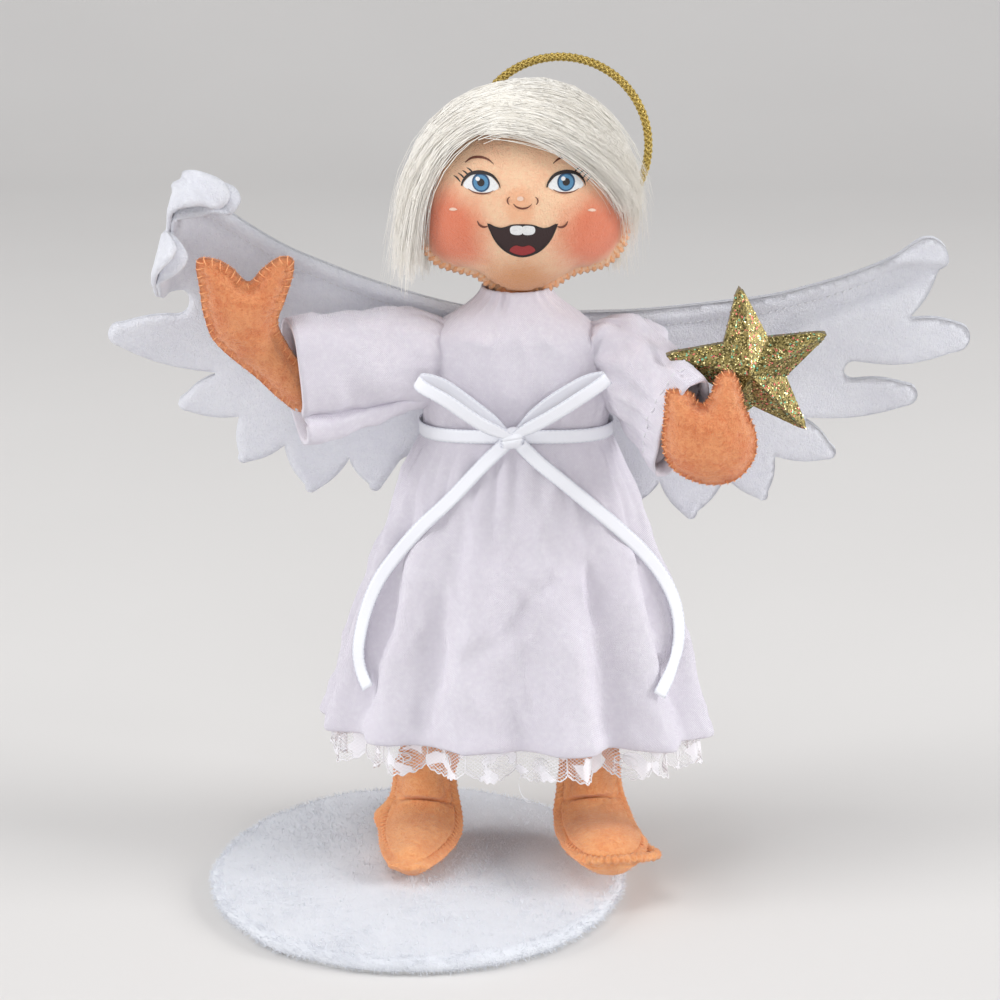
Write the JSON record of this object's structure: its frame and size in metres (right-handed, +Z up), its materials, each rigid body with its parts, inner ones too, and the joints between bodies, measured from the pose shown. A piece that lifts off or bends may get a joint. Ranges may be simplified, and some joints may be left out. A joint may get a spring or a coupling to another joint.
{
  "type": "felt angel doll",
  "caption": "Poseable felt angel doll standing on a round base, with feathered wings, a halo, a gathered dress and a star in one hand.",
  "frame": {"origin": "middle of the base's flat underside", "axes": "+Z up; the doll faces -Y; +X is towards the doll's left hand"},
  "size_m": [0.2007, 0.094, 0.1891],
  "materials": {
    "peach_felt": "short-pile felt, blushed",
    "stuffing": "loose fibre",
    "wire": "bare soft wire",
    "gold_cord": "braided metallic cord",
    "gold_glitter": "glitter coat",
    "white_felt": "short-pile felt",
    "mohair": "long fine fibre",
    "dress_cotton": "plain-weave cotton",
    "lace": "net lace",
    "satin_ribbon": "satin",
    "board": "stiff fibre board",
    "fleece": "short fleece",
    "base_felt": "felt"
  },
  "bodies": {
    "stand": {"base_sole": "base_felt", "base_board": "board", "base_fleece": "fleece", "foot_right_felt": "peach_felt", "foot_right_stuffing": "stuffing", "foot_right_wire": "wire"},
    "figure": {"leg_right_felt": "peach_felt", "leg_right_stuffing": "stuffing", "leg_wire": "wire", "torso_felt": "peach_felt", "torso_stuffing": "stuffing", "spine_wire": "wire", "shoulder_wire": "wire", "bodice": "dress_cotton", "skirt": "dress_cotton", "skirt_lace": "lace", "sash_ribbon": "satin_ribbon", "bow_knot": "satin_ribbon", "bow_loops": "satin_ribbon", "bow_tails": "satin_ribbon", "wing_tab": "white_felt"},
    "leg_left": {"leg_left_felt": "peach_felt", "leg_left_stuffing": "stuffing", "leg_left_wire": "wire"},
    "foot_left": {"foot_left_felt": "peach_felt", "foot_left_stuffing": "stuffing", "foot_left_wire": "wire"},
    "arm_right": {"arm_right_felt": "peach_felt", "arm_right_stuffing": "stuffing", "arm_right_wire": "wire", "sleeve_right": "dress_cotton"},
    "hand_right": {"hand_right_felt": "peach_felt", "hand_right_stuffing": "stuffing", "hand_right_wire": "wire"},
    "arm_left": {"arm_left_felt": "peach_felt", "arm_left_stuffing": "stuffing", "arm_left_wire": "wire", "sleeve_left": "dress_cotton"},
    "hand_left": {"hand_left_felt": "peach_felt", "hand_left_stuffing": "stuffing", "hand_left_wire": "wire", "star_front": "gold_glitter", "star_back": "gold_glitter"},
    "neck": {"neck_felt": "peach_felt", "neck_wire": "wire"},
    "head": {"head_front_felt": "peach_felt", "head_back_felt": "peach_felt", "head_stuffing": "stuffing", "hair_back": "mohair", "hair_fringe": "mohair", "halo_stitches": "gold_cord"},
    "halo": {"halo_cord": "gold_cord", "halo_wire": "wire"},
    "wing_left": {"wing_left_front": "white_felt", "wing_left_back": "white_felt", "wing_left_wire": "wire"},
    "wing_right": {"wing_right_front": "white_felt", "wing_right_back": "white_felt", "wing_right_wire": "wire"}
  },
  "joints": [
    {"name": "lean", "type": "hinge", "parent": "stand", "child": "figure", "pos_m": [0.0015, 0.013, 0.01995], "axis": [0, -1, 0], "range_deg": [-2, 6]},
    {"name": "neck_nod", "type": "hinge", "parent": "figure", "child": "neck", "pos_m": [0.023, 0.0165, 0.13355], "axis": [1, 0, 0], "range_deg": [-8, 8]},
    {"name": "head_turn", "type": "hinge", "parent": "neck", "child": "head", "pos_m": [0.023, 0.0165, 0.13355], "axis": [0, 0, 1], "range_deg": [-40, 40]},
    {"name": "halo_tilt", "type": "hinge", "parent": "head", "child": "halo", "pos_m": [0.033, 0.0388, 0.15076], "axis": [-1, 0, 0], "range_deg": [0, 25]},
    {"name": "shoulder_right", "type": "hinge", "parent": "figure", "child": "arm_right", "pos_m": [-0.00135, 0.015, 0.12355], "axis": [0, 1, 0], "range_deg": [-25, 20]},
    {"name": "elbow_right", "type": "hinge", "parent": "arm_right", "child": "hand_right", "pos_m": [-0.02637, 0.00687, 0.11397], "axis": [0, 1, 0], "range_deg": [-30, 4]},
    {"name": "shoulder_left", "type": "hinge", "parent": "figure", "child": "arm_left", "pos_m": [0.04735, 0.015, 0.12355], "axis": [0, 1, 0], "range_deg": [-25, 4]},
    {"name": "elbow_left", "type": "hinge", "parent": "arm_left", "child": "hand_left", "pos_m": [0.05932, -0.00275, 0.11168], "axis": [0, 1, 0], "range_deg": [0, 25]},
    {"name": "hip_left", "type": "hinge", "parent": "figure", "child": "leg_left", "pos_m": [0.032, 0.015, 0.07455], "axis": [1, 0, 0], "range_deg": [-12, 0]},
    {"name": "ankle_left", "type": "hinge", "parent": "leg_left", "child": "foot_left", "pos_m": [0.0405, 0.013, 0.02255], "axis": [1, 0, 0], "range_deg": [-20, 2]},
    {"name": "wing_left_fold", "type": "hinge", "parent": "figure", "child": "wing_left", "pos_m": [0.02765, 0.03105, 0.12055], "axis": [0, -0.1564, 0.9877], "range_deg": [-5, 45]},
    {"name": "wing_right_fold", "type": "hinge", "parent": "figure", "child": "wing_right", "pos_m": [0.01835, 0.03105, 0.12055], "axis": [0, 0.1564, -0.9877], "range_deg": [-5, 45]}
  ]
}
